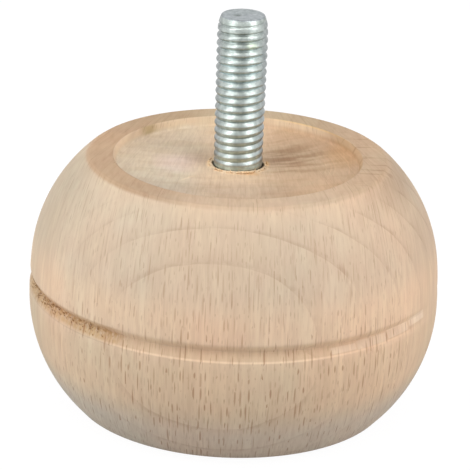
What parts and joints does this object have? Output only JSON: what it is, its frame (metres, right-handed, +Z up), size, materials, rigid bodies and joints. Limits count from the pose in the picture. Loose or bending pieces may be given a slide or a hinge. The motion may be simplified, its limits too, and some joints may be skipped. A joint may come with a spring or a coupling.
{
  "type": "ball furniture foot",
  "caption": "Squat turned beech ball foot with a recessed top, a V groove round its side and an M8 threaded stud.",
  "frame": {"origin": "centre of the flat base, on the axis of the ball and the stud", "axes": "+Z up along the stud, out of the top of the ball; X and Y are any two directions across it"},
  "size_m": [0.063, 0.063, 0.0623],
  "materials": {
    "beech": "raw turned and sanded, no varnish or stain",
    "zinc_steel": "bright zinc plate on a rolled thread"
  },
  "bodies": {
    "root": {"turned_body": "beech", "threaded_stud": "zinc_steel"}
  },
  "joints": []
}
